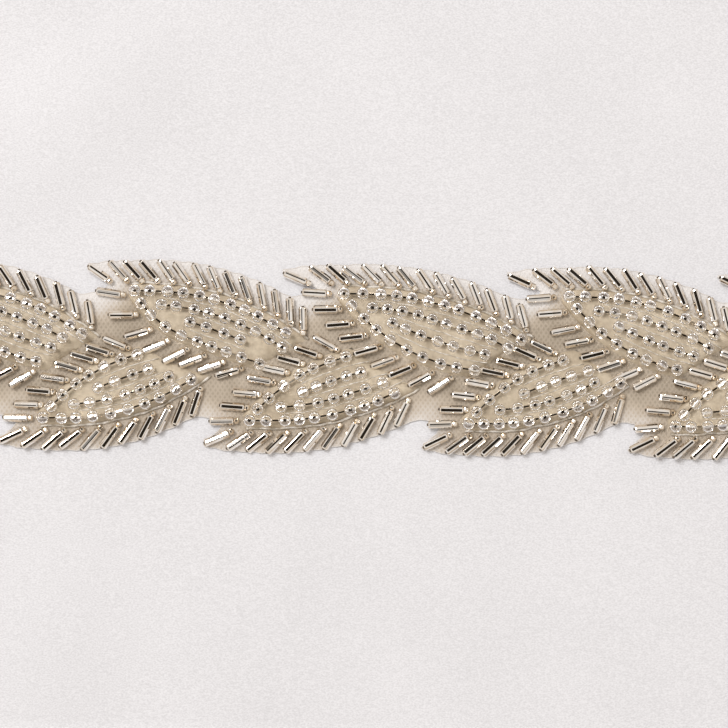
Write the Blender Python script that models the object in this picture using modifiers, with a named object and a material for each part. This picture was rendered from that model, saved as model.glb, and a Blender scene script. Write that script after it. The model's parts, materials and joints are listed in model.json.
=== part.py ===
"""Bridal sash: a satin band laid flat, with a braid of beaded leaves sewn along its middle on a net backing.

X runs along the sash, Y across it and Z up. The origin is under the middle of the cloth, where it lies.
The sizes of one leaf are in its own frame: the apex at the origin, the leaf running to +X, and the edge
that faces the side of the sash towards +Y. That edge is called outer here, and the other one inner.
"""

import math
from collections import namedtuple

import bmesh
import bpy
from mathutils import Vector

MM = 0.001
SEAM_GAP = 0.3 * MM

# The satin band
SASH_LENGTH = 2300 * MM
SASH_WIDTH = 208 * MM
CLOTH = 1.0 * MM
HEM_CLOTH = 1.7 * MM
HEM_WIDTH = 8 * MM
HEM_STEP = 1.5 * MM
COLUMN_STEP = 36 * MM
BEADED_COLUMN_STEP = 60 * MM
BEADED_HALF = 330 * MM
LINES_ACROSS = (30 * MM, 54 * MM, 76 * MM)

# Soft folds, in millimetres and degrees: the middle of each, its direction, how far it reaches along and
# across that direction, and its height
Fold = namedtuple("Fold", "x y angle length width height")
FOLDS = [
    Fold(-1080, 20, 78, 75, 26, 3.2),
    Fold(-985, -38, 64, 62, 24, 2.6),
    Fold(-900, 34, 96, 70, 30, 3.4),
    Fold(-790, -22, 112, 78, 28, 2.4),
    Fold(-690, 40, 70, 60, 26, 2.9),
    Fold(-585, -30, 84, 74, 30, 2.2),
    Fold(-470, 44, 118, 52, 26, 1.8),
    Fold(-395, -52, 62, 44, 24, 1.5),
    Fold(-73, 60, 45, 40, 22, 0.8),
    Fold(-75, -70, 88, 30, 24, 0.6),
    Fold(385, 50, 66, 46, 24, 1.6),
    Fold(480, -36, 104, 60, 28, 2.3),
    Fold(580, 30, 82, 72, 26, 2.7),
    Fold(695, -44, 68, 58, 28, 2.1),
    Fold(790, 26, 98, 76, 30, 3.3),
    Fold(905, -18, 74, 70, 26, 2.8),
    Fold(1010, 36, 108, 64, 28, 3.1),
    Fold(1090, -34, 84, 52, 22, 2.4),
]

# The braid of leaves: pairs of an upper and a lower leaf, each beside the one before it
PAIRS = 8
PAIR_PITCH = 53.4 * MM
LOWER_LAG = 30.0 * MM
APEX_HEIGHT = 16.0 * MM
FIRST_APEX_X = -218.5 * MM
# How far each hand-sewn leaf lies off the even pitch, along the sash
UPPER_SHIFTS = [s * MM for s in (0.5, -0.4, 1.7, 0.5, -0.6, 2.2, 1.6, 0.0)]
LOWER_SHIFTS = [s * MM for s in (-0.3, 0.4, 1.4, -0.4, 0.9, -0.8, 0.6, 0.0)]

# One leaf: its outer row of beads starts level and bends down, its inner row starts steep and flattens out
OUTER_LEVEL = 5 * MM
OUTER_LENGTH = 60 * MM
INNER_LENGTH = 61.5 * MM
EDGE_STEP = 1.5 * MM
# The radius of the outer row's bend, and the angles of the inner row's start and end and its bend's radius.
# Only the last pair of leaves shows its tips, and the hand-sewn leaves in the middle are not all alike
Shape = namedtuple("Shape", "outer_radius inner_start inner_radius inner_end")
UPPER_SHAPE = Shape(60 * MM, -54, 45.5 * MM, -2)
LOWER_SHAPE = Shape(57 * MM, -52.5, 45.5 * MM, -2)
LAST_SHAPE = Shape(72 * MM, -54, 45.5 * MM, -2)
ODD_SHAPES = {
    "leaf_upper_4": Shape(60 * MM, -62, 24 * MM, -19),
    "leaf_upper_5": Shape(78 * MM, -54, 45.5 * MM, -2),
    "leaf_lower_4": Shape(71 * MM, -52.5, 45.5 * MM, -2),
    "leaf_upper_8": LAST_SHAPE,
    "leaf_lower_8": LAST_SHAPE,
}
ROW_GAP = 3.3 * MM
SECOND_ROW = 0.30
THIRD_ROW = 0.64
BEAD_PITCH = 4.4 * MM
BEAD_HEIGHT = 3.0 * MM
LINK_HEIGHT = 1.9 * MM
PAD_HEIGHT = 1.2 * MM
PAD_EDGE_HEIGHT = 1.0 * MM
PAD_MARGIN = 1.7 * MM
FIRST_BEAD = 2.7 * MM
ROWS = 4

# The fringe of bugle beads on both edges of a leaf: the stretch of the row that it follows, the pitch of its
# beads, their distance from the row, how far they lean back from its direction, and how that changes along it
Fringe = namedtuple("Fringe", "start end pitch offset lean lean_rate")
OUTER_FRINGE = Fringe(-7.5 * MM, 58 * MM, 4.0 * MM, 2.9 * MM, math.radians(140), math.radians(-0.12) / MM)
INNER_FRINGE = Fringe(-1.5 * MM, 60 * MM, 4.2 * MM, 2.4 * MM, math.radians(-129), 0.0)
BUGLE_LENGTH = 6.3 * MM
BUGLE_HEIGHT = 1.8 * MM
FRINGE_BASE = 0.7 * MM
FRINGE_REACH = 8.2 * MM
COVER_CLEARANCE = 0.5 * MM

# The net backing shows a little past the tips of the fringe
NET = 1.0 * MM
NET_MARGIN = 1.0 * MM
NET_STEP = 7 * MM
# Where the edge turns in below a leaf's first bugles, in that leaf's own frame
NOTCHES = ((-11.8 * MM, -0.8 * MM), (-6.6 * MM, 1.3 * MM))
# Along a leaf's rows, where the next leaf hides its fringe, and the last leaves' tips meet each other
FRINGE_HIDDEN = 40 * MM
UPPER_TIP_MEETS = 47 * MM
LOWER_TIP_MEETS = 40 * MM
FIRST_LEAVES_MEET = 34 * MM
FIRST_LOWER_SEEN = 6 * MM

Leaf = namedtuple("Leaf", "name side x y shape")


def clear_scene():
    for old in list(bpy.data.objects):
        bpy.data.objects.remove(old)


def plain_material(name, colour, roughness, metallic=0.0):
    material = bpy.data.materials.new(name)
    material.use_nodes = True
    shader = material.node_tree.nodes["Principled BSDF"]
    shader.inputs["Base Color"].default_value = (*colour, 1.0)
    shader.inputs["Roughness"].default_value = roughness
    shader.inputs["Metallic"].default_value = metallic
    return material


def add_object(name, mesh, material, collection):
    mesh.materials.append(material)
    made = bpy.data.objects.new(name, mesh)
    collection.objects.link(made)
    return made


# The satin band


def fold_rise(x, y):
    """How far the cloth lifts off the table at a point."""
    rise = 0.0
    for fold in FOLDS:
        along_x, along_y = math.cos(math.radians(fold.angle)), math.sin(math.radians(fold.angle))
        dx, dy = x - fold.x * MM, y - fold.y * MM
        along = (dx * along_x + dy * along_y) / (fold.length * MM)
        across = (dy * along_x - dx * along_y) / (fold.width * MM)
        reach = 1 - along * along - across * across
        if reach > 0:
            rise += fold.height * MM * reach * reach
    return rise


def columns_along():
    """Where the sections of the band lie, closer together outside the stiff beaded middle."""
    half = SASH_LENGTH / 2
    hem = [half, half - HEM_WIDTH, half - HEM_WIDTH - HEM_STEP]
    tail = hem[-1] - BEADED_HALF
    count = round(tail / COLUMN_STEP)
    columns = hem + [hem[-1] - tail * i / count for i in range(1, count + 1)]
    count = round(2 * BEADED_HALF / BEADED_COLUMN_STEP)
    beaded = [BEADED_HALF * (2 * i / count - 1) for i in range(1, count)]
    return sorted([-x for x in columns] + beaded + columns)


def lines_across():
    half = SASH_WIDTH / 2
    lines = [*LINES_ACROSS, half - HEM_WIDTH - HEM_STEP, half - HEM_WIDTH, half]
    return sorted([-y for y in lines] + [0.0] + lines)


def satin_band(collection):
    """One wall of cloth, thicker where the hem is turned in along its four edges."""
    xs, ys = columns_along(), lines_across()
    built = bmesh.new()
    rows = [[built.verts.new((x, y, fold_rise(x, y))) for y in ys] for x in xs]
    for near, far in zip(rows, rows[1:]):
        for i in range(len(ys) - 1):
            built.faces.new((near[i], far[i], far[i + 1], near[i + 1]))
    mesh = bpy.data.meshes.new("satin_band")
    built.to_mesh(mesh)
    built.free()
    satin = plain_material("white_satin", (0.86, 0.84, 0.82), 0.35)
    band = add_object("satin_band", mesh, satin, collection)
    wall = band.vertex_groups.new(name="wall")
    hem_x, hem_y = SASH_LENGTH / 2 - HEM_WIDTH, SASH_WIDTH / 2 - HEM_WIDTH
    for vertex in mesh.vertices:
        in_hem = abs(vertex.co.x) > hem_x - HEM_STEP / 2 or abs(vertex.co.y) > hem_y - HEM_STEP / 2
        wall.add([vertex.index], 1.0 if in_hem else CLOTH / HEM_CLOTH, "REPLACE")
    solidify = band.modifiers.new("cloth_wall", "SOLIDIFY")
    solidify.thickness = HEM_CLOTH
    solidify.offset = 1.0
    solidify.vertex_group = "wall"


# One leaf's lines, in its own frame


def turned(angle):
    return Vector((math.cos(angle), math.sin(angle)))


def arc(radius, start, turn, distance):
    """The point and heading at a distance along an arc from the apex that turns left (1) or right (-1)."""
    heading = start + turn * distance / radius
    x = radius * turn * (math.sin(heading) - math.sin(start))
    y = -radius * turn * (math.cos(heading) - math.cos(start))
    return Vector((x, y)), heading


def outer_row(shape, distance):
    """The outer row runs level past the apex, and then bends down to the tip."""
    point, heading = arc(shape.outer_radius, 0.0, -1, max(0.0, distance - OUTER_LEVEL))
    return point + Vector((min(distance, OUTER_LEVEL), 0)), heading


def inner_row(shape, distance):
    """The inner row bends until it is nearly level, and then runs straight to the tip."""
    start = math.radians(shape.inner_start)
    bent = (math.radians(shape.inner_end) - start) * shape.inner_radius
    point, heading = arc(shape.inner_radius, start, 1, min(distance, bent))
    return point + turned(heading) * max(0.0, distance - bent), heading


def bugle(shape, fringe, row, side, distance):
    """Where a bugle bead is sewn at the leaf's edge, and its free tip."""
    point, heading = row(shape, distance)
    base = point + turned(heading + side * math.pi / 2) * fringe.offset
    lean = heading + fringe.lean + fringe.lean_rate * distance
    return base, base + turned(lean) * BUGLE_LENGTH


def outer_bugle(shape, distance):
    return bugle(shape, OUTER_FRINGE, outer_row, 1, distance)


def inner_bugle(shape, distance):
    return bugle(shape, INNER_FRINGE, inner_row, -1, distance)


def across(shape, share, fraction):
    """A point a share of the way along the leaf and a fraction of the way from its outer to its inner row."""
    outer = outer_row(shape, share * OUTER_LENGTH)[0]
    inner = inner_row(shape, share * INNER_LENGTH)[0]
    return outer.lerp(inner, fraction)


def row_fractions(shape, share):
    """The rows of beads and the hollows between them as fractions across the leaf, and its width there."""
    width = (across(shape, share, 0) - across(shape, share, 1)).length
    second = min(0.5, max(SECOND_ROW, ROW_GAP / max(width, MM)))
    third = max(THIRD_ROW, (second + 1) / 2) if width < 2 * ROW_GAP else THIRD_ROW
    return [0, second / 2, second, (second + third) / 2, third, (third + 1) / 2, 1], width


# The braid


def braid():
    """Every leaf from left to right, each one covered at its tip by the next."""
    leaves = []
    for i in range(PAIRS):
        x = FIRST_APEX_X + i * PAIR_PITCH
        upper, lower = f"leaf_upper_{i + 1}", f"leaf_lower_{i + 1}"
        upper_shape = ODD_SHAPES.get(upper, UPPER_SHAPE)
        lower_shape = ODD_SHAPES.get(lower, LOWER_SHAPE)
        leaves.append(Leaf(upper, 1, x + UPPER_SHIFTS[i], APEX_HEIGHT, upper_shape))
        leaves.append(Leaf(lower, -1, x + LOWER_LAG + LOWER_SHIFTS[i], -APEX_HEIGHT, lower_shape))
    return leaves


def placed(leaf, point):
    return Vector((leaf.x + point.x, leaf.y + leaf.side * point.y))


def depth_under(point, follower):
    """How far a point lies outside the inner row of a leaf that covers it; less is more covered."""
    local = Vector((point.x - follower.x, (point.y - follower.y) * follower.side))
    row = [inner_row(follower.shape, distance) for distance in steps(0.0, INNER_LENGTH, EDGE_STEP)]
    near, heading = min(row, key=lambda spot: (local - spot[0]).length)
    outside = (local - near).dot(turned(heading - math.pi / 2))
    return math.copysign((local - near).length, outside)


def is_free(leaf, point, followers):
    least = FRINGE_REACH + COVER_CLEARANCE
    return all(depth_under(placed(leaf, point), follower) > least for follower in followers)


def steps(start, end, pitch):
    count = int((end - start) / pitch + 1e-6)
    return [start + i * pitch for i in range(count + 1)]


def fringe_lines(leaf, followers, fringe, row_bugle):
    """The base and tip lines of a fringe, raised along each bugle bead and low between them."""
    bases, tips = [], []
    half = fringe.pitch / 2
    for i, distance in enumerate(steps(fringe.start - half, fringe.end, half)):
        base, tip = row_bugle(leaf.shape, distance)
        if not (is_free(leaf, base, followers) and is_free(leaf, tip, followers)):
            break
        height = BUGLE_HEIGHT if i % 2 else FRINGE_BASE
        bases.append((base, height))
        tips.append((tip, height))
    return bases, tips


def row_line(leaf, followers, column, raised):
    """One line along the leaf: a row of beads with a peak at each, or the hollow between two rows."""
    pitch = BEAD_PITCH / 2 if raised else BEAD_PITCH
    edge_row = column in (0, 2 * ROWS - 2)
    line = []
    for i, distance in enumerate(steps(FIRST_BEAD, OUTER_LENGTH - FIRST_BEAD, pitch)):
        share = distance / OUTER_LENGTH
        fractions, width = row_fractions(leaf.shape, share)
        point = across(leaf.shape, share, fractions[column])
        if not is_free(leaf, point, followers):
            break
        height = PAD_HEIGHT
        if raised and (edge_row or width > 2 * ROW_GAP):
            height = LINK_HEIGHT if i % 2 else BEAD_HEIGHT
        line.append((point, height))
    return line


def pad_edge(leaf, followers, row, side, length):
    line = []
    for distance in steps(0.0, length, BEAD_PITCH):
        point, heading = row(leaf.shape, distance)
        point = point + turned(heading + side * math.pi / 2) * PAD_MARGIN
        if not is_free(leaf, point, followers):
            break
        line.append((point, PAD_EDGE_HEIGHT))
    return line


def pair_lines(built, first, second):
    """Fills the strip between two lines whose points belong together one by one."""
    for i in range(len(first) - 1):
        built.faces.new((first[i], first[i + 1], second[i + 1]))
        built.faces.new((first[i], second[i + 1], second[i]))


def zip_lines(built, first, second):
    """Fills the strip between two lines of points, always across the shorter diagonal."""
    i = j = 0
    while i < len(first) - 1 or j < len(second) - 1:
        at_end = i == len(first) - 1
        along_first = not at_end and (
            j == len(second) - 1
            or (first[i + 1].co - second[j].co).length < (first[i].co - second[j + 1].co).length
        )
        if along_first:
            built.faces.new((first[i], first[i + 1], second[j]))
            i += 1
        else:
            built.faces.new((first[i], second[j + 1], second[j]))
            j += 1


def close_below(built, bottom):
    """Turns an open surface into a solid that stands on a flat base at the height given."""
    rim = [edge for edge in built.edges if edge.is_boundary]
    dropped = bmesh.ops.extrude_edge_only(built, edges=rim)["geom"]
    for vertex in (item for item in dropped if isinstance(item, bmesh.types.BMVert)):
        vertex.co.z = bottom
    lower = [item for item in dropped if isinstance(item, bmesh.types.BMEdge) and item.is_boundary]
    bmesh.ops.contextual_create(built, geom=lower)
    bmesh.ops.recalc_face_normals(built, faces=built.faces)


def beaded_leaf(leaf, followers, material, collection):
    bottom = CLOTH + SEAM_GAP + NET + SEAM_GAP
    outer_bases, outer_tips = fringe_lines(leaf, followers, OUTER_FRINGE, outer_bugle)
    inner_bases, inner_tips = fringe_lines(leaf, followers, INNER_FRINGE, inner_bugle)
    lines = [outer_tips, outer_bases, pad_edge(leaf, followers, outer_row, 1, OUTER_LENGTH)]
    lines += [row_line(leaf, followers, column, column % 2 == 0) for column in range(2 * ROWS - 1)]
    lines += [pad_edge(leaf, followers, inner_row, -1, INNER_LENGTH), inner_bases, inner_tips]
    built = bmesh.new()
    made = []
    for line in lines:
        spots = [(placed(leaf, point), height) for point, height in line]
        made.append([built.verts.new((spot.x, spot.y, bottom + height)) for spot, height in spots])
    pair_lines(built, made[0], made[1])
    for first, second in zip(made[1:-1], made[2:-1]):
        zip_lines(built, first, second)
    pair_lines(built, made[-2], made[-1])
    close_below(built, bottom)
    mesh = bpy.data.meshes.new(leaf.name)
    built.to_mesh(mesh)
    built.free()
    mesh.shade_smooth()
    mesh.set_sharp_from_angle(angle=math.radians(50))
    add_object(leaf.name, mesh, material, collection)


# The net backing


def net_edge(leaf, row_bugle, start, end):
    """Points just past the tips of a stretch of fringe."""
    count = max(1, round(abs(end - start) / NET_STEP))
    points = []
    for i in range(count + 1):
        base, tip = row_bugle(leaf.shape, start + (end - start) * i / count)
        points.append(placed(leaf, tip + (tip - base).normalized() * NET_MARGIN))
    return points


def net_side(leaves):
    """The scalloped edge along one side of the braid, with a notch where a leaf passes under the next."""
    edge = []
    for leaf, follower in zip(leaves, leaves[1:]):
        edge += net_edge(leaf, outer_bugle, OUTER_FRINGE.start, FRINGE_HIDDEN)
        edge += [placed(follower, Vector(notch)) for notch in NOTCHES]
    return edge


def net_backing(leaves, collection):
    uppers, lowers = leaves[0::2], leaves[1::2]
    rim = net_side(uppers)
    rim += net_edge(uppers[-1], outer_bugle, OUTER_FRINGE.start, UPPER_TIP_MEETS)
    rim += net_edge(lowers[-1], inner_bugle, LOWER_TIP_MEETS, INNER_LENGTH)
    rim += net_edge(lowers[-1], outer_bugle, OUTER_FRINGE.end, OUTER_FRINGE.start)
    rim += reversed(net_side(lowers))
    rim += net_edge(lowers[0], inner_bugle, INNER_FRINGE.start, FIRST_LOWER_SEEN)
    rim += net_edge(uppers[0], inner_bugle, FIRST_LEAVES_MEET, INNER_FRINGE.start)
    bottom = CLOTH + SEAM_GAP
    built = bmesh.new()
    built.faces.new([built.verts.new((point.x, point.y, bottom + NET)) for point in rim])
    close_below(built, bottom)
    mesh = bpy.data.meshes.new("net_backing")
    built.to_mesh(mesh)
    built.free()
    net = plain_material("ivory_net", (0.80, 0.77, 0.72), 0.6)
    add_object("net_backing", mesh, net, collection)


def main():
    clear_scene()
    collection = bpy.data.collections.new("bridal_sash")
    bpy.context.scene.collection.children.link(collection)
    satin_band(collection)
    leaves = braid()
    net_backing(leaves, collection)
    beadwork = plain_material("silver_lined_beads", (0.72, 0.68, 0.60), 0.18, 0.6)
    for i, leaf in enumerate(leaves):
        beaded_leaf(leaf, leaves[i + 1 : i + 3], beadwork, collection)


main()
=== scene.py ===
"""The looks of the bridal sash: satin cloth, net backing, padded leaves and the beads sewn over them.

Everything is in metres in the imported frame: X along the sash, Y across it, Z up from the surface it lies on.
One leaf is drawn in its own frame: the apex at the origin, the leaf running to +X, its outer edge towards +Y.
"""

import json
import math
import random
from collections import namedtuple

import bmesh
import bpy
import numpy as np
from mathutils import Matrix, Vector, geometry, noise

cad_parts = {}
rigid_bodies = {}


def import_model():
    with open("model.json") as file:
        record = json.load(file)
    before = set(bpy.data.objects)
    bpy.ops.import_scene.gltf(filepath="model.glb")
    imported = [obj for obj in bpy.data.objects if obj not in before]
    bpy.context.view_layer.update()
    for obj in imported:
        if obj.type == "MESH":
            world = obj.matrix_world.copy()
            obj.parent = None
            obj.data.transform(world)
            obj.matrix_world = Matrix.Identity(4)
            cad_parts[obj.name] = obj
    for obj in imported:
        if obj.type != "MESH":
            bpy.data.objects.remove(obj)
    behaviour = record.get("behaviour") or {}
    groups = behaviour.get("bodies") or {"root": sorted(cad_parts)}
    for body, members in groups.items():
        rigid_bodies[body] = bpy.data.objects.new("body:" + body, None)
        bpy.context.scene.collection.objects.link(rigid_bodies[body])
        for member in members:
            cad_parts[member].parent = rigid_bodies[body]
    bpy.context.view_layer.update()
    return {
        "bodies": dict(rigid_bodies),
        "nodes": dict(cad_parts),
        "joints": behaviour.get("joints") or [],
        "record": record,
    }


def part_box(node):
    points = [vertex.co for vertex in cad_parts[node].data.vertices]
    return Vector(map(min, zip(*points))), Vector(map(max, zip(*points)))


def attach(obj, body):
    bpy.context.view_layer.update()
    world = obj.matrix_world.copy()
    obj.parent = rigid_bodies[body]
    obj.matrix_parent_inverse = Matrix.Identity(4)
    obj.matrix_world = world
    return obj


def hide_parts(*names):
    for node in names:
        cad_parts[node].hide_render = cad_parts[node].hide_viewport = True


MM = 0.001

# The photograph's frame: its width on the cloth, the point of the sash at its middle, and how far it is turned
FRAME_WIDTH = 182 * MM
FRAME_CENTRE = Vector((0.0, -1.5 * MM, 3.0 * MM))
CAMERA_ROLL = math.radians(0.8)
CAMERA_HEIGHT = 620 * MM
SENSOR = 36.0

# Satin
CLOTH = 1.0 * MM
HEM_CLOTH = 1.7 * MM
HEM_WIDTH = 8 * MM
HEM_STEP = 1.5 * MM
FINE_STEP = 2.4 * MM
COARSE_STEP = 6.0 * MM
FINE_HALF = 140 * MM
STEP_ACROSS = 3.0 * MM
STITCH_PITCH = 3.1 * MM
STITCH_LENGTH = 2.3 * MM
STITCH_INSET = 6.6 * MM

# Soft folds, in millimetres and degrees: the middle of each, its direction, its reach along and across, its height
Fold = namedtuple("Fold", "x y angle length width height")
FOLDS = [
    Fold(-1080, 20, 78, 75, 26, 3.2),
    Fold(-985, -38, 64, 62, 24, 2.6),
    Fold(-900, 34, 96, 70, 30, 3.4),
    Fold(-790, -22, 112, 78, 28, 2.4),
    Fold(-690, 40, 70, 60, 26, 2.9),
    Fold(-585, -30, 84, 74, 30, 2.2),
    Fold(-470, 44, 118, 52, 26, 1.8),
    Fold(-395, -52, 62, 44, 24, 1.5),
    Fold(-73, 60, 45, 40, 22, 0.8),
    Fold(-75, -70, 88, 30, 24, 0.6),
    Fold(385, 50, 66, 46, 24, 1.6),
    Fold(480, -36, 104, 60, 28, 2.3),
    Fold(580, 30, 82, 72, 26, 2.7),
    Fold(695, -44, 68, 58, 28, 2.1),
    Fold(790, 26, 98, 76, 30, 3.3),
    Fold(905, -18, 74, 70, 26, 2.8),
    Fold(1010, 36, 108, 64, 28, 3.1),
    Fold(1090, -34, 84, 52, 22, 2.4),
]

# One leaf's rows of beads
APEX_HEIGHT = 16.0 * MM
OUTER_LEVEL = 5 * MM
OUTER_LENGTH = 60 * MM
INNER_LENGTH = 61.5 * MM
EDGE_STEP = 1.5 * MM
# The radius of the outer row's bend, and the angles of the inner row's start and end and its bend's radius
Shape = namedtuple("Shape", "outer_radius inner_start inner_radius inner_end")
UPPER_SHAPE = Shape(60 * MM, -54, 45.5 * MM, -2)
LOWER_SHAPE = Shape(57 * MM, -52.5, 45.5 * MM, -2)
LAST_SHAPE = Shape(72 * MM, -54, 45.5 * MM, -2)
ODD_SHAPES = {
    "leaf_upper_4": Shape(60 * MM, -62, 24 * MM, -19),
    "leaf_upper_5": Shape(78 * MM, -54, 45.5 * MM, -2),
    "leaf_lower_4": Shape(71 * MM, -52.5, 45.5 * MM, -2),
    "leaf_upper_8": LAST_SHAPE,
    "leaf_lower_8": LAST_SHAPE,
}
ROW_GAP = 3.6 * MM
SECOND_ROW = 0.30
THIRD_ROW = 0.64
ROWS = 4
BEAD_STEP = 4.1 * MM
BEAD_RADIUS = 1.62 * MM
BEAD_LENGTH = 3.0 * MM
CORE_WIDTH = 1.15 * MM
CORE_FLAT = 0.8
CORE_LENGTH = 1.05 * MM
SLEEVE_WIDTH = 0.76 * MM
SLEEVE_FLARE = 1.3
LINK_WIDTH = 0.5 * MM
LINK_FLAT = 0.8
ROW_STARTS = (0.3 * MM, 0.4 * MM, 0.4 * MM, 3.6 * MM)
TAPE_RADIUS = 0.11 * MM
BEADS_END = 8.0 * MM
PAD_END = 7.0 * MM

# The fringe of bugle beads
Fringe = namedtuple("Fringe", "start second end pitch offset lean lean_rate length")
UPPER_OUTER = Fringe(-8.0 * MM, -2.6 * MM, 58 * MM, 4.15 * MM, 2.2 * MM, 141, -0.15 / MM, 5.9 * MM)
LOWER_OUTER = Fringe(-3.7 * MM, 1.4 * MM, 58 * MM, 4.3 * MM, 2.65 * MM, 141, 0.0, 6.4 * MM)
UPPER_INNER = Fringe(-1.5 * MM, 3.0 * MM, 60 * MM, 4.45 * MM, 2.3 * MM, -125, -0.37 / MM, 6.0 * MM)
LOWER_INNER = Fringe(-1.5 * MM, 2.7 * MM, 60 * MM, 4.25 * MM, 1.85 * MM, -128, -0.4 / MM, 5.9 * MM)
ODD_FRINGES = {
    "leaf_upper_4": (
        Fringe(-5.5 * MM, -1.6 * MM, 58 * MM, 3.75 * MM, 2.0 * MM, 132, -0.1 / MM, 5.7 * MM),
        Fringe(0.0 * MM, 5.2 * MM, 60 * MM, 4.8 * MM, 2.3 * MM, -124, -0.6 / MM, 6.0 * MM),
    ),
}
FIRST_LEAN = 14
FIRST_LEAN_FADE = 2.5 * MM
FIRST_TIP_AT = -9.5 * MM
CAD_FRINGE_OFFSET = 2.9 * MM
CAD_LEAN = math.radians(140 + 0.12 * 9.5)
CAD_BUGLE_LENGTH = 6.3 * MM
SEED_LENGTH = 1.4 * MM
SEED_RADIUS = 0.82 * MM
BUGLE_LENGTH = 6.0 * MM
BUGLE_HEIGHT = 1.7 * MM
BUGLE_END = 0.3 * MM
# Half the top of a bugle's section: the silver lining as it shows through the glass, from the middle outwards
Facet = namedtuple("Facet", "width tilt")
BUGLE_FACETS = [
    Facet(0.07 * MM, 0),
    Facet(0.14 * MM, 9),
    Facet(0.46 * MM, 20),
    Facet(0.26 * MM, 33),
    Facet(0.17 * MM, 50),
    Facet(0.10 * MM, 72),
]
# How far the bugles are rolled about their length, in degrees, up to a distance along a leaf's edge
Stretch = namedtuple("Stretch", "leaf edge until roll")
STRETCHES = [
    Stretch("leaf_upper_4", "outer", 21, -35),
    Stretch("leaf_upper_4", "outer", 60, 35),
    Stretch("leaf_upper_4", "inner", 60, 35),
    Stretch("leaf_upper_5", "outer", 0, -37),
    Stretch("leaf_upper_5", "outer", 21, -34),
    Stretch("leaf_upper_5", "outer", 60, -3),
    Stretch("leaf_upper_5", "inner", 1, 5),
    Stretch("leaf_upper_5", "inner", 13, 27),
    Stretch("leaf_upper_5", "inner", 18, 23),
    Stretch("leaf_upper_5", "inner", 60, 34),
    Stretch("leaf_upper_6", "outer", 15, -24),
    Stretch("leaf_upper_6", "outer", 24, -29),
    Stretch("leaf_upper_6", "outer", 37, -35),
    Stretch("leaf_upper_6", "outer", 60, -4),
    Stretch("leaf_upper_6", "inner", 5, 4),
    Stretch("leaf_upper_6", "inner", 13, 35),
    Stretch("leaf_upper_6", "inner", 18, 25),
    Stretch("leaf_upper_6", "inner", 60, 7),
    Stretch("leaf_lower_3", "outer", 8, 26),
    Stretch("leaf_lower_3", "outer", 26, 27),
    Stretch("leaf_lower_3", "outer", 60, -30),
    Stretch("leaf_lower_3", "inner", 60, 35),
    Stretch("leaf_lower_4", "outer", 3, 34),
    Stretch("leaf_lower_4", "outer", 26, -31),
    Stretch("leaf_lower_4", "outer", 60, 5),
    Stretch("leaf_lower_4", "inner", 15, 35),
    Stretch("leaf_lower_4", "inner", 23, 5),
    Stretch("leaf_lower_4", "inner", 60, 30),
    Stretch("leaf_lower_5", "outer", 13, -21),
    Stretch("leaf_lower_5", "outer", 17, -20),
    Stretch("leaf_lower_5", "outer", 60, -35),
    Stretch("leaf_lower_5", "inner", 1, 5),
    Stretch("leaf_lower_5", "inner", 5, 28),
    Stretch("leaf_lower_5", "inner", 14, 5),
    Stretch("leaf_lower_5", "inner", 60, 30),
    Stretch("leaf_lower_6", "outer", 4, 16),
    Stretch("leaf_lower_6", "outer", 20, 21),
    Stretch("leaf_lower_6", "outer", 60, 7),
    Stretch("leaf_lower_6", "inner", 15, 35),
    Stretch("leaf_lower_6", "inner", 60, 2),
]
HOLE_LENGTH = 0.8 * MM
HOLE_SHOWS = 0.38 * MM
HOLE_RADIUS = 0.40 * MM
FRINGE_CLEAR = 7.8 * MM
LAST_SEEN_TIP = 40 * MM
NOTCHES = ((-11.8 * MM, -0.8 * MM), (-6.6 * MM, 1.3 * MM))

# Heights above the surface that the sash lies on
NET_Z = 1.15 * MM
NET_THICK = 0.22 * MM
NET_THREADS = 320.0
NET_GRID = 2.2 * MM
# The net's colour goes from light at the rim, where the sheer net takes the satin's colour, to painted shade among
# the beads within this reach; the lower rim is painted darker, as painted shade for the light it gets less of.
NET_EDGE_FADE = 7.5 * MM
LOWER_EDGE_PAINTED_LIGHT = 0.4
PAD_HEIGHT = 1.25 * MM
OUTLINE_RADIUS = 0.26 * MM


# Node materials


def new_material(name, colour, roughness, metallic=0.0):
    material = bpy.data.materials.new(name)
    material.use_nodes = True
    shader = material.node_tree.nodes["Principled BSDF"]
    shader.inputs["Base Color"].default_value = (*colour, 1.0)
    shader.inputs["Roughness"].default_value = roughness
    shader.inputs["Metallic"].default_value = metallic
    return material, shader


def add_node(material, kind, **settings):
    node = material.node_tree.nodes.new(kind)
    for name, value in settings.items():
        setattr(node, name, value)
    return node


def noise_of(material, scale, stretch=(1, 1, 1), detail=2.0):
    """A noise texture in the sash's own coordinates, with the scale in features a metre."""
    links = material.node_tree.links
    place = add_node(material, "ShaderNodeTexCoord")
    mapping = add_node(material, "ShaderNodeMapping")
    mapping.inputs["Scale"].default_value = stretch
    texture = add_node(material, "ShaderNodeTexNoise")
    texture.inputs["Scale"].default_value = scale
    texture.inputs["Detail"].default_value = detail
    links.new(place.outputs["Object"], mapping.inputs["Vector"])
    links.new(mapping.outputs["Vector"], texture.inputs["Vector"])
    return texture.outputs["Fac"]


def ramp_of(material, value, stops):
    ramp = add_node(material, "ShaderNodeValToRGB")
    while len(ramp.color_ramp.elements) < len(stops):
        ramp.color_ramp.elements.new(0.5)
    for element, (place, colour) in zip(ramp.color_ramp.elements, stops):
        element.position = place
        element.color = (*colour, 1.0)
    material.node_tree.links.new(value, ramp.inputs["Fac"])
    return ramp.outputs["Color"]


def bump_of(material, shader, height, strength, distance):
    bump = add_node(material, "ShaderNodeBump")
    bump.inputs["Strength"].default_value = strength
    bump.inputs["Distance"].default_value = distance
    material.node_tree.links.new(height, bump.inputs["Height"])
    material.node_tree.links.new(bump.outputs["Normal"], shader.inputs["Normal"])
    return bump


def math_of(material, operation, first, second):
    node = add_node(material, "ShaderNodeMath", operation=operation)
    for socket, value in zip(node.inputs, (first, second)):
        if isinstance(value, (int, float)):
            socket.default_value = value
        else:
            material.node_tree.links.new(value, socket)
    return node.outputs["Value"]


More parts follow.
